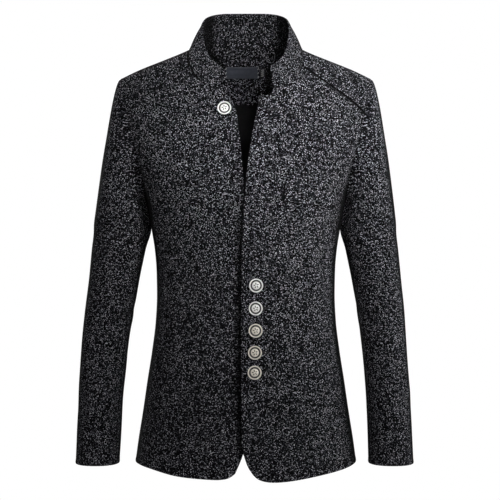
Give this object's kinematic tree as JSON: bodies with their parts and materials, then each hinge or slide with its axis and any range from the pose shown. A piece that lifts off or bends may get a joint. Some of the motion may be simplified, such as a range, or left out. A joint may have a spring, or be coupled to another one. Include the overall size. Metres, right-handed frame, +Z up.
{
  "type": "mandarin jacket",
  "caption": "Tailored tweed jacket with a stand collar, a lapped button front with rounded corners, a breast welt and long set-in sleeves, filled out with no wearer",
  "frame": {"origin": "middle of the neck base, at the height of the side neck points, where a neck and shoulders hold the jacket", "axes": "+Z is up along the body, the front faces -Y, and +X is towards the wearer's left"},
  "size_m": [0.5665, 0.2585, 0.7881],
  "materials": {
    "tweed": "black and grey melange wool tweed with fine light flecks, matt",
    "lining": "smooth black lining with a low sheen",
    "label": "dark blue-grey woven satin label, bare",
    "button_metal": "pale pewter, polished rim and raised work, darker in the hollows"
  },
  "bodies": {
    "root": {"front_right": "tweed", "yoke_right": "tweed", "back_right": "tweed", "top_sleeve_right": "tweed", "under_sleeve_right": "tweed", "front_left": "tweed", "yoke_left": "tweed", "back_left": "tweed", "top_sleeve_left": "tweed", "under_sleeve_left": "tweed", "collar": "tweed", "back_facing": "tweed", "back_lining": "lining", "neck_label": "label", "size_tab": "label", "breast_welt": "tweed", "button_top": "button_metal", "button_1": "button_metal", "button_2": "button_metal", "button_3": "button_metal", "button_4": "button_metal", "button_5": "button_metal"}
  },
  "joints": []
}
